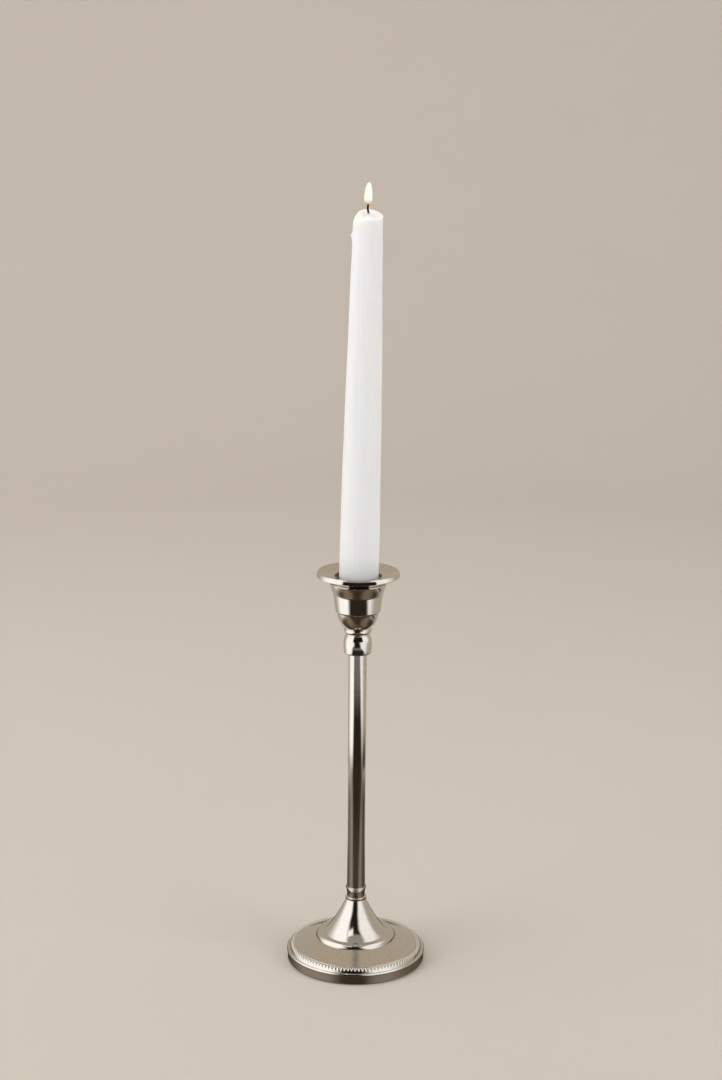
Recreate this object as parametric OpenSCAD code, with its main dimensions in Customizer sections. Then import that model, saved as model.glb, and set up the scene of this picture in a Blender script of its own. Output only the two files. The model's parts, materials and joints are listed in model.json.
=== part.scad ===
/* [Foot] */
// Diameter of the foot across its rolled lip
foot_d = 80; // [70:1:95]
// Height of the rolled lip above the table
lip_h = 7.1; // [6.6:0.1:8]
// Height of the sloping plate at its outer edge
plate_edge_h = 9; // [8.8:0.1:10]
// Height of the sloping plate where the cone's ring sits on it
plate_top_h = 13.3; // [12:0.1:14.5]
// Thickness of the spun foot metal
foot_wall = 1.3; // [1:0.1:1.6]
// Diameter of the ring at the bottom of the cone
ring_d = 45.2; // [42:0.2:48]
// Diameter of one bead in the border
bead_d = 2.1; // [1.8:0.1:2.2]
// Number of beads round the foot
bead_count = 108; // [90:1:108]

/* [Stem] */
// Height of the cone's top, where the collar starts
cone_top_h = 36.2; // [33:0.1:40]
// Diameter of the stem tube
stem_d = 10.4; // [9:0.1:11]
// Wall of the stem tube
stem_wall = 1; // [0.8:0.1:1.4]
// Largest diameter of the knop
knop_d = 16.6; // [15:0.1:19]

/* [Candle cup] */
// Height of the top of the cup's lip above the table
cup_lip_h = 226.2; // [190:0.1:270]
// Bore of the cup, which takes the nozzle's sleeve
cup_bore_d = 24.8; // [24.7:0.1:25.2]
// Diameter of the cup's flared lip
cup_lip_d = 32.6; // [30:0.1:35]

/* [Nozzle] */
// Diameter of the drip pan
pan_d = 47; // [42:0.5:56]
// Bore of the sleeve that the candle stands in
socket_d = 23.2; // [22.8:0.1:23.4]
// Depth of the sleeve below the top of the cup's lip
sleeve_depth = 16; // [12:0.5:16]

/* [Candle] */
// Diameter of the candle at its foot
candle_d = 22.2; // [20:0.1:22.3]
// Length of the candle, part burnt, to its highest rim
candle_length = 221; // [60:1:250]
// How far the candle leans in its loose socket, in degrees
candle_lean = 1.05; // [0:0.05:1.2]
// Height of the wick's tip above the candle's highest rim
wick_bare = 3.5; // [2:0.5:8]

/* [Hidden] */
$fn = 96;

// Metals and soft materials
nickel = [0.80, 0.77, 0.72];
steel = [0.55, 0.56, 0.58];
iron = [0.25, 0.25, 0.26];
felt = [0.10, 0.16, 0.12];
wax = [0.93, 0.93, 0.90];
cotton = [0.15, 0.12, 0.10];

// Foot, from the table up: its outside wall, plate, beads, ring and cone
foot_r = foot_d / 2;
wall_r = foot_r - 0.4;
wall_bottom_h = 0.4;
felt_h = 0.6;
cover_h = 0.8;
bead_r = bead_d / 2;
bead_ring_r = foot_r - 3.2;
bead_seat_h = lip_h - 0.2;
bead_centre_h = bead_seat_h + bead_r;
bead_wire_r = 0.4;
plate_edge_r = bead_ring_r - bead_r - 0.5;
ring_r = ring_d / 2;
ring_h = 2;
ring_face = 2.4;
ledge_r = ring_r - 4.7;
cone_wall = 1.4;
cone_top_r = 5.7;
cone_pull_r = 10;
cone_pull_h = cone_top_h - 11.4;
ballast_hole_r = 17;
ballast_h = 5.4;

// Tie rod and its hardware
rod_r = 3;
rod_hole_r = 3.3;
nut_flats = 10;
nut_h = 3.2;
washer_h = 1;
lock_washer_h = 1.6;
foot_washer_h = 2;
foot_washer_r = 15;
lock_washer_r = 5.9;
cup_washer_r = 6;
rod_end = 1;
hub_under_h = plate_top_h - foot_wall;
foot_nut_top_h = hub_under_h - foot_washer_h - lock_washer_h;
rod_bottom_h = foot_nut_top_h - nut_h - rod_end;

// Collar and stem
neck_ring_h = 2;
neck_r = 5.2;
collar_lip_h = cone_top_h + 6.4;
collar_lip_r = 6.1;
tube_seat_h = cone_top_h + 4.6;
stem_r = stem_d / 2;
tube_fit = 0.05;
spigot_r = stem_r - stem_wall - tube_fit;
spigot_h = 3;

// Knop, band and cup base, down from the cup's lip
knop_r = knop_d / 2;
base_top_h = cup_lip_h - 17.4;
band_top_h = base_top_h - 9.3;
band_h = 3.3;
knop_top_h = band_top_h - band_h;
knop_bottom_h = knop_top_h - 11.4;
stem_top_h = knop_bottom_h + 3.2;
band_r = 7.7;
knop_neck_r = 6.5;
base_r = 11.9;
nut_pocket_r = 6.6;
nut_pocket_h = band_top_h + 3.6;
rod_top_h = nut_pocket_h + washer_h + nut_h + rod_end;
cup_floor_h = base_top_h + 0.9;
cup_bore_r = cup_bore_d / 2;
cup_lip_r = cup_lip_d / 2;

// Nozzle
sleeve_r = cup_bore_r - 0.2;
socket_r = socket_d / 2;
sleeve_bottom_h = cup_lip_h - sleeve_depth;
sleeve_floor_h = sleeve_bottom_h + 0.8;
pan_r = pan_d / 2;
pan_roll_r = 0.9;
pan_rim_h = cup_lip_h + 6.8;
pan_seat_r = 15.2;
throat_h = cup_lip_h + 2.1;
throat_r = sleeve_r + 1.5;

// Candle
candle_r = candle_d / 2;
candle_foot_h = sleeve_floor_h + candle_r * sin(candle_lean) + 0.02;
taper_start = 29;
taper_drop = 3.3;
melt_r = 40;
melt_tilt = 15.8;
melt_depth = 2.9;
wick_r = 0.65;
wick_start = 2;

// Radius of the candle at a height above its own foot
function wax_r(h) = h < taper_start
    ? candle_r
    : candle_r - taper_drop * pow((h - taper_start) / (candle_length - taper_start), 1.5);

// Point at angle a on a circle
function on_circle(centre, r, a) = centre + r * [cos(a), sin(a)];

// Points of an arc, from angle a to angle b in degrees
function arc(centre, r, a, b, steps = 6) =
    [for (i = [0 : steps]) on_circle(centre, r, a + (b - a) * i / steps)];

// Points of a quadratic curve from p to q, pulled towards the corner c
function bend(p, c, q, steps = 8) =
    [for (i = [0 : steps]) let (t = i / steps) pow(1 - t, 2) * p + 2 * t * (1 - t) * c + t * t * q];

// A turned piece, from points of its half section
module turned(points) {
    rotate_extrude() polygon(points);
}

// A flat washer or disc with a round hole
module washer(r, hole_r, h) {
    difference() {
        cylinder(r = r, h = h);
        translate([0, 0, -1]) cylinder(r = hole_r, h = h + 2);
    }
}

// A hexagon nut, flats across and plain bore
module hex_nut(flats, bore_r, h) {
    difference() {
        cylinder(r = flats / 2 / cos(30), h = h, $fn = 6);
        translate([0, 0, -1]) cylinder(r = bore_r, h = h + 2);
    }
}

// Foot: outer wall, rolled lip, channel, bead seat and sloping plate
module foot_plate() {
    roll_r = 0.6;
    step_r = plate_edge_r + 0.3;
    wall_inside_r = wall_r - foot_wall;
    step_inside_r = plate_edge_r - foot_wall;
    seat_under_h = bead_seat_h - foot_wall;
    outside = concat(
        [[wall_inside_r, wall_bottom_h], [wall_r, wall_bottom_h], [wall_r, lip_h - 1.8]],
        [[foot_r, lip_h - 1.4]],
        arc([foot_r - roll_r, lip_h - roll_r], roll_r, 0, 120, 6),
        bend([foot_r - 1.05, lip_h - 0.35], [foot_r - 1.4, lip_h - 1.2], [foot_r - 2, lip_h - 0.9]),
        [[bead_ring_r + bead_r, bead_seat_h], [step_r, bead_seat_h]],
        [[step_r, plate_edge_h - 0.4], [plate_edge_r, plate_edge_h]],
        [[ring_r, plate_top_h], [rod_hole_r, plate_top_h]]
    );
    inside = [
        [rod_hole_r, hub_under_h],
        [ring_r - 0.2, hub_under_h],
        [step_inside_r, plate_edge_h - foot_wall],
        [step_inside_r, seat_under_h],
        [wall_inside_r, seat_under_h - 0.6]
    ];
    color(nickel) turned(concat(outside, inside));
}

// Border of round beads strung on a wire, laid in the foot's seat
module bead_border() {
    color(nickel)
        translate([0, 0, bead_centre_h]) {
            rotate_extrude() translate([bead_ring_r, 0]) circle(r = bead_wire_r, $fn = 24);
            for (i = [0 : bead_count - 1])
                rotate([0, 0, i * 360 / bead_count])
                    translate([bead_ring_r, 0, 0]) sphere(r = bead_r, $fn = 24);
        }
}

// Steel disc that closes the underside of the foot
module base_cover() {
    color(steel) translate([0, 0, felt_h]) cylinder(r = wall_r - foot_wall, h = cover_h);
}

// Felt glued under the cover, the face that rests on the table
module felt_pad() {
    color(felt) cylinder(r = wall_r - foot_wall - 0.1, h = felt_h);
}

// Iron ring inside the foot that keeps the candlestick from tipping
module ballast_ring() {
    color(iron)
        translate([0, 0, felt_h + cover_h])
            washer(plate_edge_r - foot_wall - 0.3, ballast_hole_r, ballast_h);
}

// Hollow trumpet cone with a rounded ring at its foot
module foot_cone() {
    edge_r = 1.2;
    ring_top_h = plate_top_h + ring_h;
    inside_h = cone_top_h - 2.4;
    inside_foot_h = plate_top_h + 1;
    pull = [cone_pull_r, cone_pull_h];
    inside_pull = pull - [1.9, 0];
    outside = concat(
        [[ring_r - ring_face, plate_top_h], [ring_r, plate_top_h]],
        arc([ring_r - edge_r, ring_top_h - edge_r], edge_r, 0, 90),
        bend([ledge_r, ring_top_h + 0.1], pull, [cone_top_r, cone_top_h], 12),
        [[rod_hole_r, cone_top_h]]
    );
    inside = concat(
        [[rod_hole_r, inside_h]],
        bend([cone_top_r - 1.1, inside_h], inside_pull, [ledge_r - cone_wall, inside_foot_h]),
        [[ring_r - ring_face, inside_foot_h]]
    );
    color(nickel) turned(concat(outside, inside));
}

// Collar on the neck: a small ring, a waist and a flared lip round the stem
module neck_collar() {
    ring_top = cone_top_h + neck_ring_h;
    mouth_r = stem_r + tube_fit;
    outside = concat(
        [[rod_hole_r, cone_top_h], [cone_top_r, cone_top_h]],
        arc([cone_top_r, cone_top_h + neck_ring_h / 2], neck_ring_h / 2 - 0.1, -70, 70),
        [[cone_top_r, ring_top]],
        bend([neck_r, ring_top], [neck_r - 0.2, collar_lip_h - 3.2], [collar_lip_r, collar_lip_h])
    );
    inside = concat(
        bend([collar_lip_r - 0.3, collar_lip_h + 0.05], [mouth_r, collar_lip_h - 0.9],
             [mouth_r, collar_lip_h - 1.5], 4),
        [[mouth_r, tube_seat_h], [spigot_r, tube_seat_h], [spigot_r, tube_seat_h + spigot_h]],
        [[rod_hole_r, tube_seat_h + spigot_h]]
    );
    color(nickel) turned(concat(outside, inside));
}

// Straight tube between the collar and the knop
module stem_tube() {
    color(nickel)
        translate([0, 0, tube_seat_h])
            washer(stem_r, stem_r - stem_wall, stem_top_h - tube_seat_h);
}

// Bell-shaped knop that caps the stem tube
module knop() {
    mouth_r = stem_r + tube_fit;
    shoulder_h = knop_bottom_h + 4.4;
    neck_h = knop_top_h - 0.8;
    color(nickel)
        turned(concat(
            [[mouth_r, knop_bottom_h]],
            bend([mouth_r + 0.3, knop_bottom_h], [knop_r + 0.1, knop_bottom_h + 0.6], [knop_r, shoulder_h]),
            bend([knop_r, shoulder_h], [knop_r, neck_h - 2.4], [knop_r - 1.1, neck_h]),
            [[knop_neck_r, neck_h + 0.1], [knop_neck_r, knop_top_h], [rod_hole_r, knop_top_h]],
            [[rod_hole_r, stem_top_h], [mouth_r, stem_top_h]]
        ));
}

// Narrow rounded band between the knop and the cup's base
module band_ring() {
    edge = 0.5;
    face = [band_r, band_top_h - 0.4];
    color(nickel)
        turned(concat(
            [[rod_hole_r, knop_top_h], [knop_neck_r, knop_top_h], [band_r - edge, knop_top_h + edge]],
            bend([band_r - 0.1, knop_top_h + 2 * edge], [band_r + 0.15, band_top_h - 1.6], face, 4),
            [[band_r - 0.4, band_top_h], [rod_hole_r, band_top_h]]
        ));
}

// Lower bowl of the cup, with a pocket for the nut that clamps the stem
module cup_base() {
    color(nickel)
        turned(concat(
            [[rod_hole_r, band_top_h], [band_r - 0.3, band_top_h]],
            bend([band_r, band_top_h + 0.3], [base_r - 1.3, band_top_h + 2.7], [base_r, base_top_h], 10),
            [[nut_pocket_r, base_top_h], [nut_pocket_r, nut_pocket_h], [rod_hole_r, nut_pocket_h]]
        ));
}

// Spun cup with a flared lip, brazed to its base
module candle_cup() {
    belly = [13.6, base_top_h + 3.6];
    waist = [14.3, cup_lip_h - 5.8];
    lip_roll = 0.6;
    outside = concat(
        [[nut_pocket_r, base_top_h]],
        bend([base_r + 0.3, base_top_h], [belly[0] - 0.2, base_top_h + 0.5], belly, 6),
        bend(belly, [belly[0] + 0.4, cup_lip_h - 8], waist, 4),
        bend(waist, [waist[0] + 0.4, waist[1] + 2.4], [cup_lip_r - 0.1, cup_lip_h - 1]),
        arc([cup_lip_r - lip_roll, cup_lip_h - lip_roll], lip_roll, -20, 90)
    );
    inside = [
        [cup_bore_r + 0.5, cup_lip_h],
        [cup_bore_r, cup_lip_h - 0.5],
        [cup_bore_r, cup_floor_h],
        [nut_pocket_r, cup_floor_h]
    ];
    color(nickel) turned(concat(outside, inside));
}

// Threaded rod that pulls the whole stand together, from foot to cup
module tie_rod() {
    color(steel)
        translate([0, 0, rod_bottom_h])
            cylinder(r = rod_r, h = rod_top_h - rod_bottom_h);
}

// Wide washer that spreads the nut's load under the foot
module foot_washer() {
    color(steel)
        translate([0, 0, hub_under_h - foot_washer_h])
            washer(foot_washer_r, rod_hole_r, foot_washer_h);
}

// Split spring washer that keeps the foot nut tight
module lock_washer() {
    gap = 1.2;
    color(steel)
        translate([0, 0, foot_nut_top_h])
            difference() {
                washer(lock_washer_r, rod_hole_r, lock_washer_h);
                translate([0, -gap / 2, -1]) cube([lock_washer_r + 1, gap, lock_washer_h + 2]);
            }
}

// Nut under the foot
module foot_nut() {
    color(steel)
        translate([0, 0, foot_nut_top_h - nut_h])
            hex_nut(nut_flats, rod_r, nut_h);
}

// Washer at the bottom of the cup base's pocket
module cup_washer() {
    color(steel) translate([0, 0, nut_pocket_h]) washer(cup_washer_r, rod_hole_r, washer_h);
}

// Nut in the cup base's pocket
module cup_nut() {
    color(steel) translate([0, 0, nut_pocket_h + washer_h]) hex_nut(nut_flats, rod_r, nut_h);
}

// Wide shallow pan that catches the wax, with a rolled rim and a funnel throat
module drip_pan() {
    roll = [pan_r - pan_roll_r, pan_rim_h - pan_roll_r];
    sheet = 1.1;
    color(nickel)
        turned(concat(
            [[sleeve_r, cup_lip_h], [pan_seat_r - 0.2, cup_lip_h]],
            bend([pan_seat_r, cup_lip_h + 0.2], [pan_seat_r + 1.2, throat_h + 1.8], roll - [1.3, 0.7]),
            arc(roll, pan_roll_r, -100, 110, 10),
            bend([throat_r, throat_h + 1.3], [sleeve_r + 0.2, throat_h + sheet - 0.3], [sleeve_r, throat_h])
        ));
}

// Thin sleeve with a closed end, soldered into the pan, that holds the candle
module nozzle_sleeve() {
    color(nickel)
        turned([
            [0, sleeve_bottom_h],
            [sleeve_r, sleeve_bottom_h],
            [sleeve_r, throat_h],
            [socket_r, throat_h],
            [socket_r, sleeve_floor_h],
            [0, sleeve_floor_h]
        ]);
}

// Places its children in the candle's own leaning frame, from its foot up
module in_candle_frame() {
    translate([0, 0, candle_foot_h]) rotate([0, candle_lean, 0]) children();
}

// Tapered candle with a bore for the wick; its melted top slopes forwards and is slightly dished
module candle() {
    melt_centre = [0, -melt_r * sin(melt_tilt), candle_length - melt_depth + melt_r * cos(melt_tilt)];
    side_step = 16;
    side = [for (h = [taper_start : side_step : candle_length - side_step / 2]) [wax_r(h), h]];
    color(wax)
        in_candle_frame()
            difference() {
                turned(concat(
                    [[wick_r, 0], [candle_r - 0.6, 0], [candle_r, 0.6]],
                    side,
                    [[wax_r(candle_length), candle_length], [wick_r, candle_length]]
                ));
                translate(melt_centre) sphere(r = melt_r);
            }
}

// Braided wick that runs the length of the candle and stands bare at the top
module wick() {
    color(cotton)
        in_candle_frame()
            translate([0, 0, wick_start])
                cylinder(r = wick_r, h = candle_length + wick_bare - wick_start);
}

foot_plate();
bead_border();
base_cover();
felt_pad();
ballast_ring();
foot_cone();
neck_collar();
stem_tube();
knop();
band_ring();
cup_base();
candle_cup();
tie_rod();
foot_washer();
lock_washer();
foot_nut();
cup_washer();
cup_nut();
drip_pan();
nozzle_sleeve();
candle();
wick();
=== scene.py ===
"""Looks of a nickel-plated candlestick with a lit taper candle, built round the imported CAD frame.

The scene is in metres, with +Z up. Outlines and meshes are worked out in millimetres, and new_piece turns
them into metres.
"""

import json
import math

import bpy
from mathutils import Matrix, Vector


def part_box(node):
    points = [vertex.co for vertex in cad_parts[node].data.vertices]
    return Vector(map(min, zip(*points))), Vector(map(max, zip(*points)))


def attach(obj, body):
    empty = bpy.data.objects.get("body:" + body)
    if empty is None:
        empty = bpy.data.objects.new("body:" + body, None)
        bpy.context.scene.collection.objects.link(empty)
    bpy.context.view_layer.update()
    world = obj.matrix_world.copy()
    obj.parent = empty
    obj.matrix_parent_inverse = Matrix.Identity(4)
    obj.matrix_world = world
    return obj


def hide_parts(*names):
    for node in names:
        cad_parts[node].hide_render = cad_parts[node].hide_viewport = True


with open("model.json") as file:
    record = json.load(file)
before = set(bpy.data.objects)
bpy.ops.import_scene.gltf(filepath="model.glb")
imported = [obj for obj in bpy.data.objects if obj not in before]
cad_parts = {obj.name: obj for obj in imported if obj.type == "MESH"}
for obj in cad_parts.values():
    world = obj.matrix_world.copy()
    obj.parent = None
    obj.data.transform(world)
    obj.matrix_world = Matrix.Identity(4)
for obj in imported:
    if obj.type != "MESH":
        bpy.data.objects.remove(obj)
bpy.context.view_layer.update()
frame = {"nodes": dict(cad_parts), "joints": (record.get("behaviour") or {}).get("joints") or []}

MM = 0.001
TURN = 256  # facets round a turned piece
LONG_FLAT = 1.0  # a flat of a turned piece that is longer has a row of points near each of its ends
SUPPORT = 0.2  # how near; these rows keep the shading of a long flat straight

# What the room and the reflected studio are painted with
PALE_PAPER = (0.535, 0.49, 0.445)
DARK_WOOD = (0.025, 0.0165, 0.010)
SOFTBOX = Vector((1.0, 0.985, 0.955))
DARK_GAP = Vector((0.014, 0.011, 0.008))
BROWN_GAP = Vector((0.026, 0.018, 0.012))
FAR_FLOOR = Vector((0.19, 0.175, 0.155))
BEIGE_WALL = Vector((0.44, 0.385, 0.315))
CEILING_FRONT = Vector((0.31, 0.30, 0.27))
CEILING_BACK = Vector((0.45, 0.375, 0.29))


# ---------------------------------------------------------------- places read from the frame

def top(node):
    """Height of a node's top, in millimetres."""
    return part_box(node)[1][2] / MM


def foot(node):
    """Height of a node's underside, in millimetres."""
    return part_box(node)[0][2] / MM


def radius(node):
    """Half of a node's width across Y, in millimetres; Y is the side that the candle doesn't lean to."""
    low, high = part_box(node)
    return (high[1] - low[1]) / 2 / MM


FOOT_R = radius("foot_plate")
RING_R = radius("foot_cone")
PLATE_TOP = foot("foot_cone")
CONE_TOP = top("foot_cone")
COLLAR_TOP = top("neck_collar")
STEM_R = radius("stem_tube")
KNOP_R = radius("knop")
KNOP_FOOT, KNOP_TOP = foot("knop"), top("knop")
BAND_TOP = top("band_ring")
BASE_TOP = top("cup_base")
LIP_R = radius("candle_cup")
LIP_TOP = top("candle_cup")
PAN_R = radius("drip_pan")
PAN_TOP = top("drip_pan")
SLEEVE_R = radius("nozzle_sleeve")
SLEEVE_FOOT, SLEEVE_TOP = foot("nozzle_sleeve"), top("nozzle_sleeve")

LIFT_AXIS = Vector(next(j["axis"] for j in frame["joints"] if j["name"] == "candle_lift"))
CANDLE_R = radius("candle")
WICK_R = radius("wick")


# ---------------------------------------------------------------- outlines and turned meshes

def smooth(x, low, high):
    """Rises smoothly from 0 at low to 1 at high; it falls if high is the smaller."""
    t = min(1.0, max(0.0, (x - low) / (high - low)))
    return t * t * (3 - 2 * t)


def bend(p, c, q, steps=14):
    """Points of a quadratic curve from p to q, pulled towards c."""
    made = []
    for i in range(steps + 1):
        t = i / steps
        made.append(tuple((1 - t) ** 2 * p[k] + 2 * t * (1 - t) * c[k] + t * t * q[k] for k in (0, 1)))
    return made


def curve(p, c, d, q, steps=30):
    """Points of a cubic curve from p to q, with c and d as its handles."""
    made = []
    for i in range(steps + 1):
        t = i / steps
        a, b, e, f = (1 - t) ** 3, 3 * t * (1 - t) ** 2, 3 * t * t * (1 - t), t ** 3
        made.append(tuple(a * p[k] + b * c[k] + e * d[k] + f * q[k] for k in (0, 1)))
    return made


def arc(centre, r, start, end, steps=12):
    """Points of an arc round centre, from angle start to angle end in degrees."""
    made = []
    for i in range(steps + 1):
        a = math.radians(start + (end - start) * i / steps)
        made.append((centre[0] + r * math.cos(a), centre[1] + r * math.sin(a)))
    return made


def soften(points, steps=5):
    """Rounds the corners of a closed outline of (r, z, corner radius) points; one with no radius is kept."""
    made = []
    for i, p in enumerate(points):
        if len(p) < 3 or p[2] <= 0:
            made.append((p[0], p[1]))
            continue
        here = Vector(p[:2])
        before = Vector(points[i - 1][:2]) - here
        after = Vector(points[(i + 1) % len(points)][:2]) - here
        half = before.angle(after) / 2
        cut = min(p[2] / math.tan(half), before.length * 0.49, after.length * 0.49)
        start = here + before.normalized() * cut
        end = here + after.normalized() * cut
        made += bend(tuple(start), tuple(here), tuple(end), steps)
    return made


def new_piece(name, vertices, faces, smooth_angle=38):
    """A mesh object from points in millimetres, smooth where its faces meet at less than the angle."""
    mesh = bpy.data.meshes.new(name)
    mesh.from_pydata([Vector(v) * MM for v in vertices], [], faces)
    mesh.polygons.foreach_set("use_smooth", [True] * len(mesh.polygons))
    mesh.update()
    mesh.set_sharp_from_angle(angle=math.radians(smooth_angle))
    piece = bpy.data.objects.new(name, mesh)
    bpy.context.scene.collection.objects.link(piece)
    return piece


def ring_points(r, z, turn=TURN):
    """Points round the Z axis."""
    angles = [2 * math.pi * i / turn for i in range(turn)]
    return [(r * math.cos(a), r * math.sin(a), z) for a in angles]


def row_faces(rows, closed=True):
    """Vertices and faces of a skin over rows of points, given from the bottom up the outside.

    A row of one point is a tip. Where closed is true, the skin goes on from the last row to the first.
    """
    vertices, rings = [], []
    turn = max(len(row) for row in rows)
    for row in rows:
        first = len(vertices)
        vertices += row
        rings.append([first + (i if len(row) > 1 else 0) for i in range(turn)])
    faces = []
    for low, high in zip(rings, rings[1:] + rings[:1] if closed else rings[1:]):
        for i in range(turn):
            k = (i + 1) % turn
            corners = tuple(dict.fromkeys((low[i], low[k], high[k], high[i])))
            if len(corners) > 2:
                faces.append(corners)
    return vertices, faces


def turned(name, outline):
    """Turns a closed outline of (r, z) points about the Z axis. It goes up the outside and down inside."""
    rows = []
    for (r, z), after in zip(outline, outline[1:] + outline[:1]):
        length = math.dist((r, z), after)
        if length < 1e-4:
            continue
        rows.append([(0, 0, z)] if r < 1e-6 else ring_points(r, z))
        if length > LONG_FLAT:
            for share in (SUPPORT / length, 1 - SUPPORT / length):
                rows.append(ring_points(r + (after[0] - r) * share, z + (after[1] - z) * share))
    return new_piece(name, *row_faces(rows))


# ---------------------------------------------------------------- material building blocks

class Graph:
    """A material's node tree, with short ways to add and join nodes."""

    def __init__(self, name):
        self.material = bpy.data.materials.new(name)
        self.material.use_nodes = True
        self.tree = self.material.node_tree
        self.tree.nodes.clear()
        self.out = self.tree.nodes.new("ShaderNodeOutputMaterial")

    def add(self, kind, **values):
        """Adds a node. A value named after an input sets or joins it, any other sets a property."""
        node = self.tree.nodes.new(kind)
        for key, value in values.items():
            label = key.replace("_", " ")
            found = [s for s in node.inputs if s.name.lower() == label.lower() and s.enabled]
            if not found:
                setattr(node, key, value)
            else:
                self.feed(found[0], value)
        return node

    def feed(self, socket, value):
        """Joins an input to an output, or sets it to a value."""
        if isinstance(value, bpy.types.NodeSocket):
            self.tree.links.new(value, socket)
        else:
            socket.default_value = value

    def point(self, scale=(1, 1, 1)):
        """Object coordinates, scaled."""
        where = self.add("ShaderNodeTexCoord").outputs["Object"]
        return self.add("ShaderNodeMapping", vector=where, scale=scale).outputs[0]

    def from_axis(self):
        """Distance from the Z axis."""
        across = self.point(scale=(1, 1, 0))
        return self.add("ShaderNodeVectorMath", operation="LENGTH", vector=across).outputs["Value"]

    def height(self):
        """Height in the object, along Z."""
        where = self.add("ShaderNodeTexCoord").outputs["Object"]
        return self.add("ShaderNodeSeparateXYZ", vector=where).outputs["Z"]

    def noise(self, vector, scale, detail=3.0, roughness=0.5):
        kind = "ShaderNodeTexNoise"
        return self.add(kind, vector=vector, scale=scale, detail=detail, roughness=roughness).outputs["Fac"]

    def ramp(self, value, low, high, to_low=0.0, to_high=1.0):
        """Maps value from the range low..high to to_low..to_high, clamped."""
        node = self.add("ShaderNodeMapRange", value=value)
        for index, number in zip((1, 2, 3, 4), (low, high, to_low, to_high)):
            node.inputs[index].default_value = number
        return node.outputs[0]

    def math(self, operation, a, b=0.0):
        node = self.tree.nodes.new("ShaderNodeMath")
        node.operation = operation
        for socket, value in zip(node.inputs, (a, b)):
            self.feed(socket, value)
        return node.outputs[0]

    def mix(self, amount, a, b):
        """Mixes two colours, each an output or a tuple of red, green and blue."""
        node = self.add("ShaderNodeMix", data_type="RGBA")
        for index, value in ((0, amount), (6, a), (7, b)):
            self.feed(node.inputs[index], (*value, 1.0) if isinstance(value, tuple) else value)
        return node.outputs[2]

    def bump(self, height, strength, distance, normal=None):
        node = self.add("ShaderNodeBump", height=height, strength=strength, distance=distance)
        if normal:
            self.feed(node.inputs["Normal"], normal)
        return node.outputs[0]

    def finish(self, shader):
        self.tree.links.new(shader, self.out.inputs["Surface"])
        return self.material


def nickel(name, shaded_hole_r=0.0, satin_r=0.0, tarnish_and_shade_amount=1.0):
    """Polished warm nickel plate: faint swirl marks, soft waves, and a thin tarnish with painted shade in the
    creases.

    Where a radius is given, painted shade makes it dark inside shaded_hole_r, and wiping has made it dull
    inside satin_r.
    """
    g = Graph(name)
    where = g.point()
    blotch = g.noise(where, 90, 4)
    haze = g.noise(where, 420, 3)
    # Creases darken towards brown: partly tarnish, partly painted shade
    crease = g.add("ShaderNodeAmbientOcclusion", samples=8, only_local=True, distance=0.9 * MM)
    deep = g.ramp(crease.outputs["AO"], 0.25, 0.85, 1.0, 0.0)
    tarnish_and_shade = g.math("MULTIPLY", deep, g.ramp(blotch, 0.3, 0.7, 0.3 * tarnish_and_shade_amount, 0.9 * tarnish_and_shade_amount))
    bright = g.mix(g.ramp(haze, 0.35, 0.7), (0.83, 0.80, 0.755), (0.78, 0.745, 0.695))
    colour = g.mix(tarnish_and_shade, bright, (0.40, 0.34, 0.26))
    # Painted shade: near black inside the hole's radius, where the throat and the bore lie in shadow
    if shaded_hole_r:
        hole_shade = g.ramp(g.from_axis(), shaded_hole_r, shaded_hole_r - 0.5 * MM)
        colour = g.mix(hole_shade, colour, (0.07, 0.06, 0.05))
    swirl = g.noise(g.point(scale=(1, 1, 9)), 700, 2, 0.7)
    wear = g.ramp(swirl, 0.4, 0.75, 0.0, 0.045)
    rough = g.math("ADD", g.ramp(blotch, 0.3, 0.75, 0.045, 0.09), wear)
    if satin_r:
        satin = g.ramp(g.from_axis(), satin_r, satin_r - 0.3 * MM, 0.0, 0.085)
        rough = g.math("ADD", rough, satin)
    rough = g.math("ADD", rough, g.math("MULTIPLY", tarnish_and_shade, 0.22))
    wave = g.bump(g.noise(where, 55, 1, 0.3), 0.10, 0.5 * MM)
    fine = g.bump(swirl, 0.03, 0.05 * MM, wave)
    shader = g.add(
        "ShaderNodeBsdfPrincipled", base_color=colour, metallic=1.0, roughness=rough, normal=fine
    )
    return g.finish(shader.outputs[0])


def zinc_steel():
    """Dull zinc plate with a crystal mottle and turned marks."""
    g = Graph("zinc_steel")
    cells = g.add("ShaderNodeTexVoronoi", vector=g.point(), scale=500.0)
    mottle = g.math("MULTIPLY", cells.outputs["Distance"], 1.6)
    colour = g.mix(mottle, (0.46, 0.47, 0.49), (0.66, 0.66, 0.68))
    turns = g.noise(g.point(scale=(1, 1, 14)), 300, 3)
    rough = g.ramp(turns, 0.3, 0.7, 0.28, 0.5)
    normal = g.bump(turns, 0.25, 0.05 * MM)
    shader = g.add(
        "ShaderNodeBsdfPrincipled", base_color=colour, metallic=0.9, roughness=rough, normal=normal
    )
    return g.finish(shader.outputs[0])


def raw_iron():
    """Rough sand-cast iron with rusty patches."""
    g = Graph("raw_iron")
    grain = g.noise(g.point(), 900, 4, 0.7)
    rust = g.ramp(g.noise(g.point(), 70, 4), 0.5, 0.66)
    colour = g.mix(rust, (0.055, 0.055, 0.06), (0.16, 0.07, 0.035))
    shader = g.add(
        "ShaderNodeBsdfPrincipled", base_color=colour, metallic=0.35,
        roughness=g.ramp(grain, 0.3, 0.7, 0.55, 0.85), normal=g.bump(grain, 0.6, 0.2 * MM)
    )
    return g.finish(shader.outputs[0])


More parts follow.
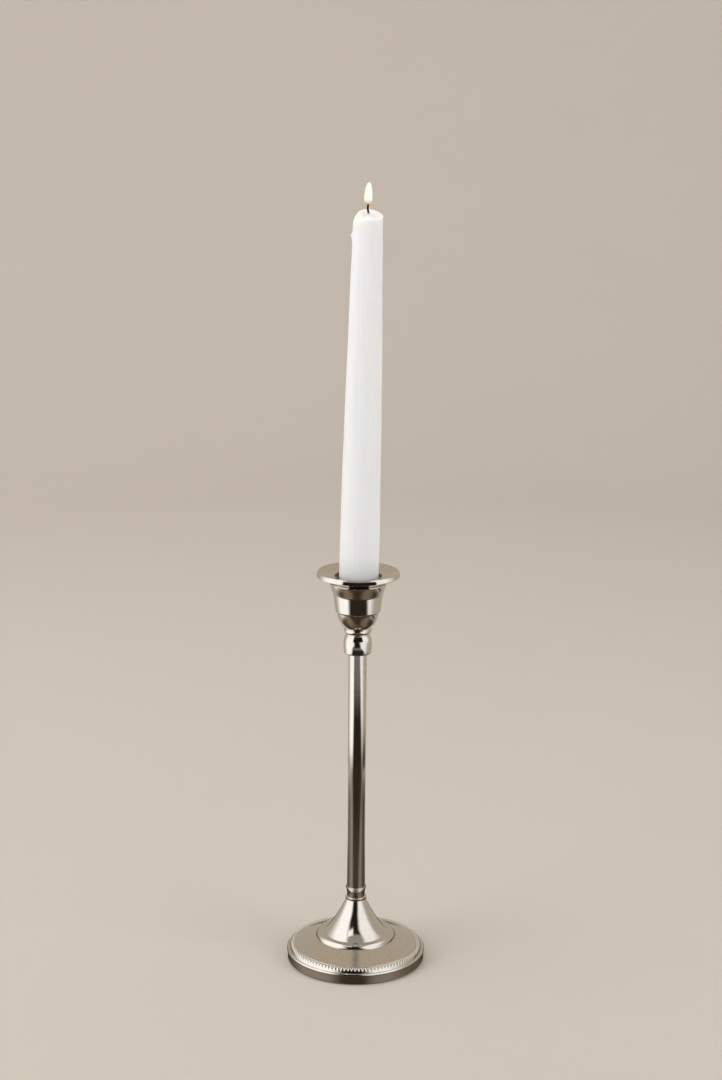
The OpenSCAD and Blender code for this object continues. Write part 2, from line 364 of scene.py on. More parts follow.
def green_felt():
    """Short-haired wool felt, with a soft sheen."""
    g = Graph("green_felt")
    fibre = g.noise(g.point(scale=(1, 1, 3)), 2600, 5, 0.75)
    tone = g.noise(g.point(), 120, 3)
    dark = g.mix(g.ramp(tone, 0.35, 0.65), (0.010, 0.032, 0.018), (0.018, 0.050, 0.028))
    colour = g.mix(g.ramp(fibre, 0.45, 0.75), dark, (0.05, 0.10, 0.065))
    shader = g.add(
        "ShaderNodeBsdfPrincipled", base_color=colour, roughness=0.95, sheen_weight=0.6,
        sheen_roughness=0.5, normal=g.bump(fibre, 0.7, 0.25 * MM)
    )
    return g.finish(shader.outputs[0])


def wax(glow_from, glow_to):
    """White candle wax: faint drawn streaks, painted shade near the pan, and a painted glow of the flame's
    light in the top.
    """
    g = Graph("wax")
    streak = g.noise(g.point(scale=(1, 1, 0.012)), 620, 3, 0.6)
    broad = g.noise(g.point(scale=(1, 1, 0.02)), 160, 2, 0.5)
    cloud = g.noise(g.point(), 60, 3)
    body = g.mix(g.ramp(streak, 0.35, 0.65), (0.81, 0.835, 0.885), (0.855, 0.87, 0.905))
    body = g.mix(g.ramp(cloud, 0.35, 0.7, 0.0, 0.35), body, (0.815, 0.83, 0.875))
    height = g.height()
    # Painted light of the flame: the top turns warm and glows faintly; it is also a little glossier there
    warm = g.math("POWER", g.ramp(height, glow_from, glow_to), 1.7)
    # Painted shade: the wax turns greyer low down, near the pan
    pan_shade = g.ramp(height, (PAN_TOP + 9) * MM, (PAN_TOP - 6) * MM)
    body = g.mix(pan_shade, body, (0.69, 0.705, 0.73))
    colour = g.mix(warm, body, (0.81, 0.75, 0.72))
    rough = g.math("SUBTRACT", g.ramp(broad, 0.3, 0.7, 0.42, 0.55), g.math("MULTIPLY", warm, 0.12))
    normal = g.bump(broad, 0.25, 0.35 * MM)
    normal = g.bump(streak, 0.12, 0.12 * MM, normal)
    shader = g.add(
        "ShaderNodeBsdfPrincipled", base_color=colour, roughness=rough, normal=normal,
        subsurface_weight=1.0, subsurface_scale=0.006, ior=1.44,
        emission_color=(1.0, 0.80, 0.68, 1.0), emission_strength=g.math("MULTIPLY", warm, 0.02)
    )
    shader.inputs["Subsurface Radius"].default_value = (1.0, 0.82, 0.7)
    return g.finish(shader.outputs[0])


def charred_cotton():
    """Burnt braid: brown black, with paler flecks of ash."""
    g = Graph("charred_cotton")
    ash = g.noise(g.point(), 2400, 3, 0.7)
    colour = g.mix(g.ramp(ash, 0.62, 0.78), (0.010, 0.004, 0.002), (0.03, 0.014, 0.008))
    shader = g.add(
        "ShaderNodeBsdfPrincipled", base_color=colour, roughness=0.9, specular_ior_level=0.0,
        normal=g.bump(ash, 0.8, 0.2 * MM)
    )
    return g.finish(shader.outputs[0])


def flame_light(low, high):
    """Glowing gas between two heights: thin amber at the bottom, then near white, with soft edges."""
    g = Graph("flame_light")
    up = g.ramp(g.height(), low, high)
    core = g.mix(g.ramp(up, 0.05, 0.32), (1.0, 0.58, 0.28), (1.0, 0.955, 0.80))
    strength = g.ramp(up, 0.0, 0.28, 0.75, 1.15)
    light = g.add("ShaderNodeEmission", color=core, strength=strength)
    clear = g.add("ShaderNodeBsdfTransparent")
    edge = g.add("ShaderNodeLayerWeight", blend=0.35).outputs["Facing"]
    body = g.math("MULTIPLY", g.ramp(edge, 0.5, 1.0, 1.0, 0.2), g.ramp(up, 0.0, 0.2, 0.0, 1.0))
    mixed = g.add("ShaderNodeMixShader")
    for socket, value in zip(mixed.inputs, (body, clear.outputs[0], light.outputs[0])):
        g.feed(socket, value)
    return g.finish(mixed.outputs[0])


def pale_paper():
    """Matt paper of the floor and the wall, with a breath of mottle."""
    g = Graph("pale_paper")
    tone = g.noise(g.point(), 6, 3)
    lighter = tuple(c * 1.03 for c in PALE_PAPER)
    shader = g.add(
        "ShaderNodeBsdfPrincipled", base_color=g.mix(tone, PALE_PAPER, lighter), roughness=0.8,
        specular_ior_level=0.0
    )
    return g.finish(shader.outputs[0])


def painted_light():
    """Glow of the reflected studio, taken from the colour painted on it."""
    g = Graph("painted_light")
    paint = g.add("ShaderNodeVertexColor", layer_name="paint").outputs["Color"]
    return g.finish(g.add("ShaderNodeEmission", color=paint, strength=1.0).outputs[0])


def dark_wood():
    """Dark satin table top, which turns into pale paper where its paint is red. Green gives it a sheen."""
    g = Graph("dark_wood")
    paint = g.add("ShaderNodeVertexColor", layer_name="paint").outputs["Color"]
    paint = g.add("ShaderNodeSeparateColor", color=paint).outputs
    sheen = g.math("MULTIPLY", paint["Green"], 0.62)
    grain = g.noise(g.point(scale=(3, 40, 1)), 14, 4, 0.6)
    wood = g.mix(grain, DARK_WOOD, tuple(1.5 * c for c in DARK_WOOD))
    colour = g.mix(paint["Red"], wood, PALE_PAPER)
    shader = g.add(
        "ShaderNodeBsdfPrincipled", base_color=colour, roughness=0.26, ior=2.0, specular_ior_level=sheen
    )
    shader.inputs["Specular Tint"].default_value = (1.0, 0.80, 0.60, 1.0)
    return g.finish(shader.outputs[0])


def dress(piece, material):
    """Gives a piece one material all over."""
    piece.data.materials.clear()
    piece.data.materials.append(material)


def add_part(piece, body, node, material):
    """Puts a finished piece on its body, in place of one CAD node."""
    dress(piece, material)
    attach(piece, body)
    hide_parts(node)


# ---------------------------------------------------------------- turned metal pieces

FOOT_WALL = 1.3
ROD_HOLE = 3.3
BORDER_R = 36.4
BORDER_SEAT = 6.35
PLATE_EDGE = (35.2, 9.0)  # outer edge of the sloping plate, as (r, z)
BEAD_COUNT = 108
CONE_NECK = 5.7
STEM_MOUTH = STEM_R + 0.05  # bore of the pieces that the stem goes into
SHORT_NECK = 6.5  # radius between the knop and the band
POCKET_R = 6.6  # room for the nut in the cup
SOCKET_WALL = 0.6
SLEEVE_FLOOR = 0.8


def foot_outline():
    """Upright wall, rolled lip, seat for the border, sloping plate, and the underside a wall's width in."""
    wall = FOOT_R - 0.4
    inner = wall - FOOT_WALL
    edge, edge_h = PLATE_EDGE
    seat = BORDER_SEAT - 0.05
    ring_foot = RING_R + 0.45
    return soften([
        (inner, 0.4, 0.2), (wall, 0.4, 0.35), (wall, 5.0, 0.12), (FOOT_R, 5.3, 0.12),
        (FOOT_R, 5.8, 0.3), (FOOT_R - 0.5, 6.6, 0.45), (FOOT_R - 1.1, 6.6, 0.2),
        (FOOT_R - 1.5, BORDER_SEAT, 0.1), (FOOT_R - 2.4, seat, 0.1),
        (edge + 0.25, seat, 0.1), (edge + 0.25, edge_h - 0.3, 0.1), (edge, edge_h, 0.2),
        (ring_foot + 0.15, PLATE_TOP + 0.45, 0.1), (ring_foot, PLATE_TOP, 0.1), (ROD_HOLE, PLATE_TOP, 0.2),
        (ROD_HOLE, PLATE_TOP - FOOT_WALL, 0.2), (RING_R - 0.2, PLATE_TOP - FOOT_WALL, 0.4),
        (edge - FOOT_WALL, edge_h - FOOT_WALL, 0.3), (edge - FOOT_WALL, BORDER_SEAT - FOOT_WALL, 0.2),
        (inner, BORDER_SEAT - FOOT_WALL - 0.6, 0.3),
    ])


def cone_outline():
    """Rounded ring with a flat ledge, and the trumpet flare up to the neck."""
    ring_r = RING_R + 0.4
    high = PLATE_TOP + 2.7
    flare = 18.1
    out, up = (15.5, high + 2.5), (10.6, high + 9.2)
    return soften([
        (RING_R - 2.4, PLATE_TOP), (ring_r - 0.02, PLATE_TOP, 0.03), (ring_r, PLATE_TOP + 0.1),
        *bend((ring_r - 0.02, PLATE_TOP + 0.18), (ring_r - 0.5, high - 0.95),
              (ring_r - 1.35, high - 0.1), 20),
        (ring_r - 1.5, high, 0.06),
        (flare + 0.5, high + 0.12, 0.3), (flare + 0.15, high - 0.12, 0.15),
        *curve((flare, high), out, up, (CONE_NECK, CONE_TOP), 60),
        (ROD_HOLE, CONE_TOP, 0.1), (ROD_HOLE, CONE_TOP - 2.4),
        *curve((CONE_NECK - 1.1, CONE_TOP - 2.4), (up[0] - 1.4, up[1]), (out[0] - 1.6, out[1] - 0.6),
               (flare - 1.6, PLATE_TOP + 1), 20),
        (RING_R - 2.4, PLATE_TOP + 1),
    ])


def collar_outline():
    """Small rounded ring, a waist, and a flared lip that the stem stands in."""
    ring_r, waist, lip = 6.05, STEM_R, 6.1
    ring_top = CONE_TOP + 1.6
    seat = foot("stem_tube")
    mouth = STEM_MOUTH
    spigot = STEM_R - 1.05
    return soften([
        (ROD_HOLE, CONE_TOP), (CONE_NECK, CONE_TOP), (ring_r - 0.15, CONE_TOP + 0.1, 0.15),
        (ring_r, CONE_TOP + 0.3, 0.1), (ring_r - 0.03, ring_top - 0.2, 0.2), (ring_r - 0.3, ring_top, 0.1),
        (waist + 0.15, ring_top + 0.05, 0.1),
        *bend((waist, ring_top + 0.15), (waist - 0.25, COLLAR_TOP - 2.5), (lip, COLLAR_TOP - 0.1), 20),
        *bend((lip - 0.1, COLLAR_TOP), (mouth, COLLAR_TOP - 0.9), (mouth, COLLAR_TOP - 1.5), 8),
        (mouth, seat), (spigot, seat), (spigot, seat + 3, 0.3), (ROD_HOLE, seat + 3, 0.3),
    ])


def stem_outline():
    """Plain tube from the collar's seat up into the knop."""
    wall = 1.0
    low, high = foot("stem_tube"), top("stem_tube")
    return soften([
        (STEM_R - wall, low, 0.2), (STEM_R, low, 0.2), (STEM_R, high, 0.2), (STEM_R - wall, high, 0.2),
    ])


def knop_outline():
    """Bell that caps the stem: a rounded bottom edge, a full belly and a shoulder up to a short neck."""
    mouth, neck = STEM_MOUTH, SHORT_NECK
    neck_h = KNOP_TOP - 0.45
    wide, wide_h = KNOP_R - 0.25, KNOP_FOOT + 4.4
    widest = (wide, wide_h)
    stem_top = top("stem_tube")
    return soften([
        (mouth + 0.9, KNOP_FOOT), (wide - 0.4, KNOP_FOOT + 0.02, 0.3),
        *curve((wide - 0.3, KNOP_FOOT + 0.7), (wide - 0.12, KNOP_FOOT + 2.2), (wide, wide_h - 1), widest, 20),
        *curve(widest, (wide, wide_h + 2.6), (wide - 0.25, neck_h - 2.0), (neck + 0.1, neck_h), 30)[1:],
        (neck, neck_h + 0.1, 0.1), (neck, KNOP_TOP, 0.1), (ROD_HOLE, KNOP_TOP),
        (ROD_HOLE, stem_top), (mouth, stem_top), (mouth, KNOP_FOOT, 0.15),
    ])


def band_outline():
    """Narrow rounded band under the bowl."""
    belly = radius("band_ring")
    edge = 0.5
    low, high = (belly - 0.15, KNOP_TOP + 1), (belly - 0.05, BAND_TOP - 0.4)
    return soften([
        (ROD_HOLE, KNOP_TOP), (SHORT_NECK, KNOP_TOP), (belly - 0.05 - edge, KNOP_TOP + edge, 0.2),
        *bend(low, (belly + 0.1, BAND_TOP - 1.6), high, 14),
        (belly - 0.45, BAND_TOP, 0.15), (ROD_HOLE, BAND_TOP),
    ])


def bowl_outline():
    """Lower bowl of the cup, with a pocket for the nut inside."""
    belly = radius("cup_base")
    narrow = 7.7
    pocket_h = foot("cup_washer")
    return soften([
        (ROD_HOLE, BAND_TOP), (narrow - 0.3, BAND_TOP, 0.1),
        *bend((narrow, BAND_TOP + 0.3), (belly - 1.3, BAND_TOP + 2.7), (belly, BASE_TOP), 40),
        (POCKET_R, BASE_TOP), (POCKET_R, pocket_h), (ROD_HOLE, pocket_h),
    ])


def cup_outline():
    """Upper cup: a step over the bowl, a nearly straight belly and a flared lip with a rolled edge."""
    bore = 12.4
    belly = (12.75, BASE_TOP + 1.1)
    waist = (13.95, LIP_TOP - 7.2)
    edge = 0.3
    step = radius("cup_base") + 0.35
    floor = BASE_TOP + 0.9
    return soften([
        (POCKET_R, BASE_TOP), (step - 0.4, BASE_TOP + 0.02, 0.2),
        *bend((step, BASE_TOP + 0.3), (belly[0] - 0.12, BASE_TOP + 0.4), belly, 12),
        *curve(waist, (14.3, LIP_TOP - 5.6), (15.1, LIP_TOP - 4.3), (LIP_R - 0.25, LIP_TOP - 0.75), 24),
        *arc((LIP_R - edge, LIP_TOP - 0.55), edge, -60, 90, 12),
        (LIP_R - 0.9, LIP_TOP - 0.05, 0.2), (bore + 0.5, LIP_TOP, 0.15), (bore, LIP_TOP - 0.5, 0.15),
        (bore, floor, 0.3), (POCKET_R, floor),
    ])


def pan_outline():
    """Wide shallow pan, whose tall rim is rolled over outwards, with a funnel throat round the candle."""
    seat = 14.9
    rim_top = LIP_TOP + 6.05
    rim_foot = LIP_TOP + 3.3
    throat = SLEEVE_R + 1.0
    return soften([
        (SLEEVE_R, LIP_TOP), (seat, LIP_TOP, 0.05), (seat + 0.15, LIP_TOP + 0.15, 0.05),
        (PAN_R - 0.75, rim_foot - 0.05, 0.25), (PAN_R - 0.08, rim_foot + 0.12, 0.2),
        *bend((PAN_R, rim_foot + 0.6), (PAN_R - 0.28, rim_top - 0.55), (PAN_R - 0.85, rim_top), 20),
        *arc((PAN_R - 0.93, rim_top - 0.1), 0.13, 50, 130, 4),
        (throat + 0.4, SLEEVE_TOP + 1.75, 0.5), (throat, SLEEVE_TOP + 1.2, 0.3), (SLEEVE_R, SLEEVE_TOP, 0.1),
    ])


def sleeve_outline():
    """Thin sleeve with a closed end, which holds the candle's foot."""
    bore = SLEEVE_R - SOCKET_WALL
    floor = SLEEVE_FOOT + SLEEVE_FLOOR
    return soften([
        (0, SLEEVE_FOOT), (SLEEVE_R, SLEEVE_FOOT, 0.5), (SLEEVE_R, SLEEVE_TOP, 0.1),
        (bore, SLEEVE_TOP, 0.2), (bore, floor, 0.4), (0, floor),
    ])


def border_outline():
    """The border's ridge as (r, z, direction that the skin faces, in degrees from outwards) points."""
    crest_r, crest_steps, crest_end = 1.15, 18, 45
    flank_steps = 12
    edge = PLATE_EDGE[0]
    crest = arc((BORDER_R - 0.1, PLATE_EDGE[1] - 0.85), crest_r, 180, crest_end, crest_steps)
    flank = curve(crest[-1], (37.72, 8.0), (38.05, 7.3), (38.5, BORDER_SEAT), flank_steps)[1:]
    outline = [(edge + 0.3, BORDER_SEAT, 180), (edge + 0.05, 7.2, 180)]
    outline += [(r, z, 180 + (crest_end - 180) * k / crest_steps) for k, (r, z) in enumerate(crest)]
    outline += [(r, z, crest_end - crest_end * k / flank_steps) for k, (r, z) in enumerate(flank, 1)]
    return outline


def beaded_border():
    """Ridge round the foot, cut into beads along its crest. The cuts run out down its outer flank."""
    per_bead = 14
    turn = BEAD_COUNT * per_bead
    rows = []
    for r, z, facing in border_outline():
        depth = smooth(facing, 14, 60)
        out, up = math.cos(math.radians(facing)), math.sin(math.radians(facing))
        row = []
        for i in range(turn):
            across = 2 * (i % per_bead) / per_bead - 1
            notch = depth * (1 - math.sqrt(max(0.0, 1 - across ** 2)))
            r_here, a = r - notch * out, 2 * math.pi * i / turn
            row.append((r_here * math.cos(a), r_here * math.sin(a), z - notch * up))
        rows.append(row)
    return new_piece("beaded_border", *row_faces(rows), 60)


# ---------------------------------------------------------------- candle, wick and flame

LEAN = math.asin(LIFT_AXIS.x)
CANDLE_FOOT = SLEEVE_FOOT + SLEEVE_FLOOR + CANDLE_R * math.sin(LEAN)
WICK_BARE = 3.5
WICK_TOP = (top("wick") - CANDLE_FOOT) / math.cos(LEAN)
CANDLE_LENGTH = WICK_TOP - WICK_BARE
CANDLE_FRAME = Matrix.Translation((0, 0, CANDLE_FOOT * MM)) @ Matrix.Rotation(LEAN, 4, "Y")
TAPER_START = 29
TAPER_DROP = 3.3


def wax_radius(h):
    """Radius of the candle at a height above its foot."""
    share = max(0.0, (h - TAPER_START) / (CANDLE_LENGTH - TAPER_START))
    return CANDLE_R - TAPER_DROP * share ** 1.5


def bell(x, middle, width):
    """A smooth bump of height 1 at the middle."""
    return math.exp(-(((x - middle) / width) ** 2))


def apart(a, b):
    """Angle between two directions, in degrees, from -180 to 180."""
    return (a - b + 180) % 360 - 180


def rim_height(angle):
    """Height of the melted rim above the candle's foot; 0 degrees is right, 90 behind and 270 in front."""
    a = math.radians(angle)
    return CANDLE_LENGTH - 1.9 + 2.1 * math.sin(a) - 0.8 * max(0.0, math.cos(a)) ** 2


def side_swell(angle, h):
    """How far the wax stands out from the plain taper: a run that ends in a drop, and soft waves."""
    drop = 0.85 * bell(apart(angle, 183), 0, 13) * bell(h, CANDLE_LENGTH - 13.2, 1.5)
    below = 0.35 * bell(apart(angle, 184), 0, 11) * bell(h, CANDLE_LENGTH - 15.6, 2.2)
    run = 0.28 * bell(apart(angle, 182), 0, 20) * bell(h, CANDLE_LENGTH - 7.5, 4.5)
    lip = 0.2 * bell(apart(angle, 355), 0, 30) * bell(h, CANDLE_LENGTH - 3.0, 1.0)
    wave = 0.05 * math.sin(math.radians(3 * angle) + h / 17)
    wave += 0.035 * math.sin(math.radians(7 * angle) - h / 9)
    return drop + below + run + lip + wave * min(1.0, h / 40)


def wax_line(angle):
    """The candle's (r, h) outline at an angle: foot, side, shoulder and dished top, in to the wick."""
    side_steps, shoulder_steps, top_steps = 110, 12, 14
    foot_edge = 0.6
    left = max(0.0, math.cos(math.radians(apart(angle, 186)))) ** 1.5
    inwards, down = 0.5 + 3.4 * left, 0.7 + 5.4 * left
    rim, middle = rim_height(angle), CANDLE_LENGTH - 1.75
    side_top = rim - down
    line = [(WICK_R, 0), (CANDLE_R - foot_edge, 0)]
    for k in range(side_steps + 1):
        h = foot_edge + (side_top - foot_edge) * (1 - (1 - k / side_steps) ** 1.6)
        line.append((wax_radius(h) + side_swell(angle, h), h))
    r_top = line[-1][0] - inwards
    for k in range(1, shoulder_steps + 1):
        t = math.radians(90 * k / shoulder_steps)
        line.append((r_top + inwards * math.cos(t), side_top + down * math.sin(t)))
    for k in range(1, top_steps + 1):
        share = k / top_steps
        r = r_top + (WICK_R + 0.04 - r_top) * share
        dish = 0.55 * math.sin(math.pi * share) ** 1.2
        climb = 0.5 * bell(r, WICK_R, 0.9)
        line.append((r, rim + (middle - rim) * share - dish + climb))
    return line


def wax_candle():
    """Tapered candle with a bore for the wick. Its melted top falls forwards and is rounded on the left."""
    turn = 180
    columns = []
    for i in range(turn):
        a = math.radians(360 * i / turn)
        columns.append([(r * math.cos(a), r * math.sin(a), h) for r, h in wax_line(360 * i / turn)])
    piece = new_piece("wax_candle", *row_faces([list(row) for row in zip(*columns)]), 50)
    piece.data.transform(CANDLE_FRAME)
    return piece


def wick_offset(h):
    """Sideways place of the wick's centre at a height: straight in the wax, then a slight double curve."""
    bare = max(0.0, h - (WICK_TOP - 6.5))
    return 0.14 * math.sin(bare * 1.15) - 0.06 * bare, 0.12 * math.sin(bare * 0.8 + 0.4) * min(1, bare)


def burnt_wick():
    """Braided wick: three strands twisted together, bent where it is bare, with a rounded tip."""
    turn = 30
    low, fine, tip = 2.0, 8, 0.7
    heights = [low + (WICK_TOP - fine - low) * k / 12 for k in range(12)]
    heights += [WICK_TOP - fine + fine * k / 60 for k in range(61)]
    rows = [[(0, 0, low)]]
    for h in heights:
        x, y = wick_offset(h)
        ending = max(0.0, (h - (WICK_TOP - tip)) / tip)
        r = (WICK_R - 0.05) * math.sqrt(max(0.0, 1 - ending ** 2 * 0.9))
        row = []
        for i in range(turn):
            a = 2 * math.pi * i / turn
            strand = 1 - 0.13 * abs(math.sin(1.5 * (a + h * 1.9)))
            row.append((x + r * strand * math.cos(a), y + r * strand * math.sin(a), h))
        rows.append(row)
    rows.append([(*wick_offset(WICK_TOP), WICK_TOP)])
    piece = new_piece("burnt_wick", *row_faces(rows, closed=False), 80)
    piece.data.transform(CANDLE_FRAME)
    return piece


FLAME_LENGTH = 12.2
FLAME_R = 2.15
FLAME_LEAN = 0.5
FLAME_OVERLAP = 0.7  # how far the wick reaches into it


def flame():
    """A still flame: round at the bottom, widest low down, and drawn out to a soft point."""
    turn, steps = 48, 40
    widest = 0.22
    foot_at = CANDLE_FRAME @ (Vector((*wick_offset(WICK_TOP), WICK_TOP - FLAME_OVERLAP)) * MM)
    rows = [[(0, 0, 0)]]
    for k in range(1, steps):
        h = FLAME_LENGTH * (k / steps) ** 1.15
        up = h / FLAME_LENGTH
        r = FLAME_R * min(1.0, math.sin(math.pi / 2 * min(1.0, up / widest)) ** 0.6)
        r *= (1 - max(0.0, (up - widest) / (1 - widest)) ** 2.2) ** 0.5
        rows.append([(x + FLAME_LEAN * up ** 2, y, h) for x, y, _ in ring_points(r, 0, turn)])
    rows.append([(FLAME_LEAN, 0, FLAME_LENGTH)])
    piece = new_piece("flame", *row_faces(rows, closed=False), 80)
    piece.data.transform(Matrix.Translation(foot_at))
    return piece


# ---------------------------------------------------------------- studio

ROOM_R, ROOM_TOP, COVE_R = 2500, 3200.0, 1200
DRUM_R, DRUM_TOP = 330, 640
DOME_R = 2300
FLAG_R, FLAG_HEIGHTS, FLAG_SIDES = 60, (200, 251), (-35, 42)
AROUND = 288  # points round the reflected studio
# The softboxes' inner edges as (height on the drum, degrees from the front) points
LEFT_EDGE = (
    (10, 53), (42, 46), (84, 45), (108, 40), (130, 30), (210, 30), (240, 38), (380, 40), (460, 45),
)
RIGHT_EDGE = (
    (10, 58), (30, 55), (42, 48), (84, 33), (120, 24), (200, 20), (220, 16), (310, 18), (386, 35), (450, 45),
)


def stage_piece(name, skin, material):
    """A piece of the studio from its skin, which is (vertices, faces)."""
    piece = new_piece(name, *skin, 60)
    dress(piece, material)
    return piece


def only_in_reflections(piece):
    """Leaves a piece out of the picture and out of the soft light, so that only shiny surfaces show it."""
    piece.visible_camera = False
    piece.visible_diffuse = False
    piece.visible_shadow = False
    piece.visible_transmission = False
    piece.visible_volume_scatter = False


def along(x, stops):
    """Value at x on straight lines between (x, value) stops."""
    for (x0, v0), (x1, v1) in zip(stops, stops[1:]):
        if x <= x1:
            return v0 + (v1 - v0) * max(0.0, (x - x0) / (x1 - x0))
    return stops[-1][1]


def studio_glow(azimuth, rise, z):
    """Light that comes from one direction: two tall softboxes with dark between them, a wall and a ceiling.

    The azimuth is 0 in front and 90 on the right, and rise is the elevation, both in degrees. z is the height
    on the drum.
    """
    left = azimuth < 0
    side = abs(azimuth)
    edge = along(z, LEFT_EDGE if left else RIGHT_EDGE)
    far = 89 if left else 52 + 28 * smooth(z, 140, 220)
    behind = smooth(side, far, far + 49)
    box = smooth(side, edge - 11, edge + 11) * (1 - behind) * smooth(rise, 67, 60)
    box *= smooth(z, -14, 22) if left else smooth(z, -16, 44)
    # The gap between the softboxes shows floor low down and ceiling high up
    gap = BROWN_GAP.lerp(DARK_GAP, smooth(z, 20, 60))
    front = gap.lerp(FAR_FLOOR, smooth(z, 36, 76) * smooth(z, 116, 94) * smooth(side, 46, 24))
    front = front.lerp(CEILING_FRONT, smooth(z, 366, 384))
    # The wall behind goes up into the other ceiling
    back = DARK_GAP.lerp(BEIGE_WALL, max(smooth(z, 5, 40), smooth(side, 110, 135)))
    back = back.lerp(CEILING_BACK, smooth(rise, 35, 50))
    glow = front.lerp(back, behind).lerp(SOFTBOX * (1.2 if left else 1.02), box)
    # Two small hot lamps are near the zenith, and a window is high in the left of the gap
    lamp = bell(side, 36, 6) * bell(rise, 77, 1.7)
    window = smooth(azimuth, -39, -36) * smooth(azimuth, -12, -15)
    window *= smooth(z, 300, 310) * smooth(z, 384, 376)
    return glow + SOFTBOX * (9.0 * lamp + 1.1 * window)


def painted_skin(name, skin, paint_at, material):
    """A piece of the studio that only reflections show, with its colour worked out for each point."""
    piece = stage_piece(name, skin, material)
    paint = piece.data.color_attributes.new("paint", "FLOAT_COLOR", "POINT")
    for dot, place in zip(paint.data, skin[0]):
        dot.color = (*paint_at(*place), 1.0)
    only_in_reflections(piece)


def azimuth_of(x, y):
    """Direction of a place from the Z axis, in degrees: 0 is in front and 90 on the right."""
    return math.degrees(math.atan2(x, -y))


def drum_paint(x, y, z):
    return studio_glow(azimuth_of(x, y), math.degrees(math.atan2(z, DRUM_R)), z)


def dome_paint(x, y, z):
    return studio_glow(azimuth_of(x, y), math.degrees(math.atan2(z, math.hypot(x, y))), 2 * DRUM_TOP)


def table_paint(x, y, _):
    """Red is how far the table turns into paper, behind and beside the foot. Green is the wood's sheen."""
    side = abs(azimuth_of(x, y))
    far = math.hypot(x, y)
    paper_behind = smooth(side, 118, 150) * smooth(far, 125, 185)
    paper_beside = smooth(side, 55, 90) * smooth(far, 270, 350)
    return max(paper_behind, paper_beside), 1 - 0.75 * smooth(side, 66, 90), 0.0


def flag_paint(*_):
    return DARK_GAP


def add_drum(light):
    """Drum round the set, with the softboxes on it."""
    steps = 128
    rows = [ring_points(DRUM_R, DRUM_TOP * k / steps, AROUND) for k in range(steps + 1)]
    painted_skin("reflected_drum", row_faces(rows, closed=False), drum_paint, light)


def add_dome(light):
    """Far dome over the drum."""
    rises = [math.radians(rise) for rise in range(90)]
    rows = [ring_points(DOME_R * math.cos(a), DOME_R * math.sin(a), AROUND) for a in rises]
    rows.append([(0, 0, DOME_R)])
    painted_skin("reflected_dome", row_faces(rows, closed=False), dome_paint, light)


def add_table():
    """Wooden table top from the foot to the drum."""
    steps = 8
    rows = [ring_points(FOOT_R - 0.8 + (DRUM_R + 6 - FOOT_R) * k / steps, 0.1) for k in range(steps + 1)]
    painted_skin("reflected_table", row_faces(rows, closed=False), table_paint, dark_wood())


def add_flag(light):
    """Dark card that stands bent before the cup and its pan."""
    steps = 24
    first, last = FLAG_SIDES
    vertices = []
    for k in range(steps + 1):
        a = math.radians(first + (last - first) * k / steps)
        vertices += [(FLAG_R * math.sin(a), -FLAG_R * math.cos(a), z) for z in FLAG_HEIGHTS]
    faces = [(2 * k, 2 * k + 2, 2 * k + 3, 2 * k + 1) for k in range(steps)]
    painted_skin("reflected_flag", (vertices, faces), flag_paint, light)


def add_reflected_studio():
    """What the metal sees in place of the pale room."""
    light = painted_light()
    add_drum(light)
    add_dome(light)
    add_table()
    add_flag(light)


def add_room():
    """Round pale room, whose floor curves up into its wall. The metal doesn't see it."""
    outline = [
        (ROOM_R - COVE_R, 0.0), *arc((ROOM_R - COVE_R, COVE_R), COVE_R, -90, 0, 48), (ROOM_R, ROOM_TOP),
    ]
    rows = [[(0, 0, 0)]] + [ring_points(r, z, 128) for r, z in outline]
    room = stage_piece("room", row_faces(rows, closed=False), pale_paper())
    room.location.z = -0.05 * MM
    room.visible_glossy = False


def soft_light(name, place, target, size, power, colour):
    """Square soft light that points at a target. Reflections show the painted softboxes in its place."""
    light = bpy.data.lights.new(name, "AREA")
    light.shape = "SQUARE"
    light.size = size
    light.energy = power
    light.color = colour
    holder = bpy.data.objects.new(name, light)
    bpy.context.scene.collection.objects.link(holder)
    holder.location = place
    holder.rotation_euler = (Vector(target) - Vector(place)).to_track_quat("-Z", "Y").to_euler()
    holder.visible_glossy = False


def add_lights():
    """A light on each side in front, one overhead, one for the wall behind, and an even glow."""
    middle = (0, 0, 0.25)
    cool, warm = (0.955, 0.985, 1.0), (1.0, 0.985, 0.96)
    soft_light("key_light", (-1.5, -0.9, 0.9), middle, 1.1, 19.5, cool)
    soft_light("fill_light", (1.5, -0.9, 0.9), middle, 1.1, 17, cool)
    soft_light("top_light", (0, 0.3, 2.6), (0, 0.3, 0), 2.4, 24, warm)
    soft_light("wall_light", (-0.7, 0.2, 2.3), (-0.5, 2.5, 0.9), 1.6, 21, warm)
    world = bpy.data.worlds.new("studio")
    bpy.context.scene.world = world
    world.use_nodes = True
    sky = world.node_tree.nodes["Background"]
    sky.inputs["Color"].default_value = (*CEILING_FRONT, 1.0)
    sky.inputs["Strength"].default_value = 1.0


def add_camera():
    """Looks slightly down on the candlestick, from a little over a metre in front of it."""
    distance, height = 1.1148, 0.5141
    turned_by, down, rolled_by = -0.071, 13.32, 0.44  # degrees
    lens = bpy.data.cameras.new("camera")
    lens.sensor_width = 36
    lens.lens = 68.45
    camera = bpy.data.objects.new("camera", lens)
    bpy.context.scene.collection.objects.link(camera)
    turn = Matrix.Rotation(math.radians(turned_by), 4, "Z")
    pitch = Matrix.Rotation(math.radians(90 - down), 4, "X")
    roll = Matrix.Rotation(math.radians(rolled_by), 4, "Z")
    camera.matrix_world = Matrix.Translation((0, -distance, height)) @ turn @ pitch @ roll
    bpy.context.scene.camera = camera


# ---------------------------------------------------------------- everything in its place

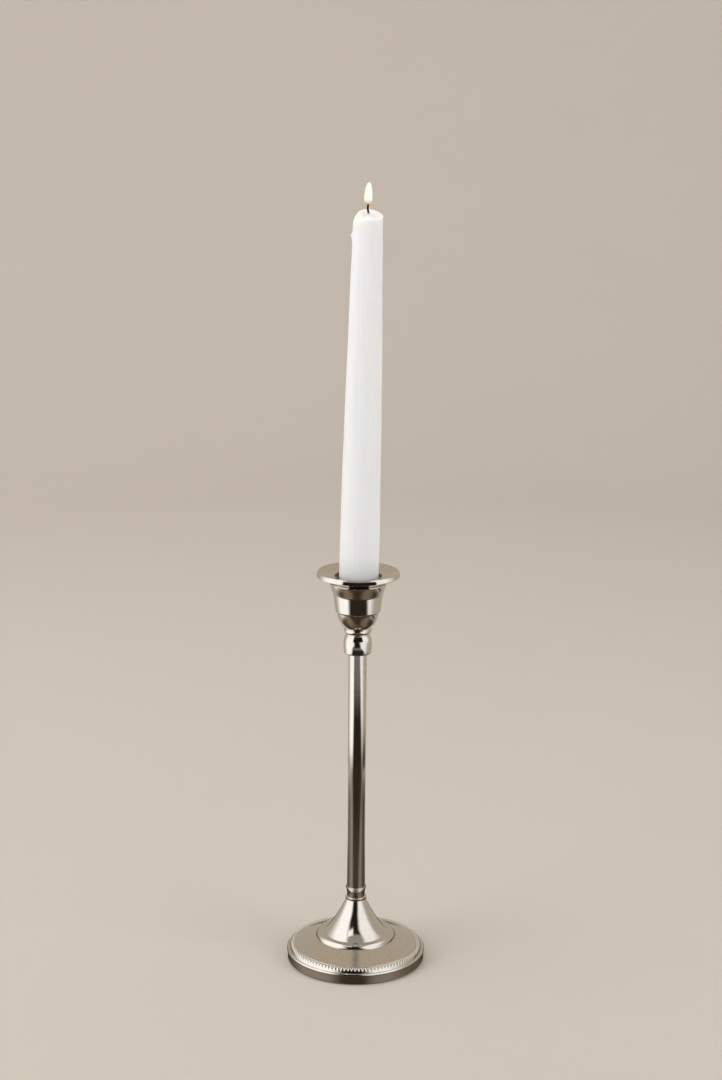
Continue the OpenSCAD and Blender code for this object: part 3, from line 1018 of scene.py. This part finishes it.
NICKEL = nickel("nickel")
METALS = {  # the nodes whose nickel isn't plain
    "foot_plate": nickel("satin_nickel", satin_r=PLATE_EDGE[0] * MM),
    # The border gets less of the crease tarnish and painted shade
    "bead_border": nickel("less_tarnish_and_shade_nickel", tarnish_and_shade_amount=0.35),
    # Painted shade darkens the pan's throat and the sleeve's bore
    "drip_pan": nickel("throat_shaded_nickel", shaded_hole_r=(SLEEVE_R + 1.3) * MM),
    "nozzle_sleeve": nickel("bore_shaded_nickel", shaded_hole_r=(SLEEVE_R - 0.2) * MM),
}
STEEL = zinc_steel()
for node in ("base_cover", "tie_rod", "foot_washer", "lock_washer", "foot_nut", "cup_washer", "cup_nut"):
    dress(frame["nodes"][node], STEEL)
dress(frame["nodes"]["ballast_ring"], raw_iron())
dress(frame["nodes"]["felt_pad"], green_felt())

TURNED = [
    ("spun_foot", "foot_plate", "stand", foot_outline),
    ("trumpet_cone", "foot_cone", "stand", cone_outline),
    ("flared_collar", "neck_collar", "stand", collar_outline),
    ("polished_stem", "stem_tube", "stand", stem_outline),
    ("bell_knop", "knop", "stand", knop_outline),
    ("rounded_band", "band_ring", "stand", band_outline),
    ("cup_bowl", "cup_base", "stand", bowl_outline),
    ("flared_cup", "candle_cup", "stand", cup_outline),
    ("rolled_pan", "drip_pan", "nozzle", pan_outline),
    ("socket_sleeve", "nozzle_sleeve", "nozzle", sleeve_outline),
]
for name, node, body, outline in TURNED:
    add_part(turned(name, outline()), body, node, METALS.get(node, NICKEL))
add_part(beaded_border(), "stand", "bead_border", METALS["bead_border"])

# How far down the candle the painted glow of the flame reaches
GLOW_DEPTH = 14 * MM
wax_top = CANDLE_FOOT * MM + CANDLE_LENGTH * MM
add_part(wax_candle(), "taper", "candle", wax(wax_top - GLOW_DEPTH, wax_top))
add_part(burnt_wick(), "taper", "wick", charred_cotton())

burning = flame()
low = min(v.co.z for v in burning.data.vertices)
dress(burning, flame_light(low, low + FLAME_LENGTH * MM))
burning.visible_shadow = False
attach(burning, "taper")

add_room()
add_reflected_studio()
add_lights()
add_camera()
bpy.context.scene.view_settings.view_transform = "Standard"
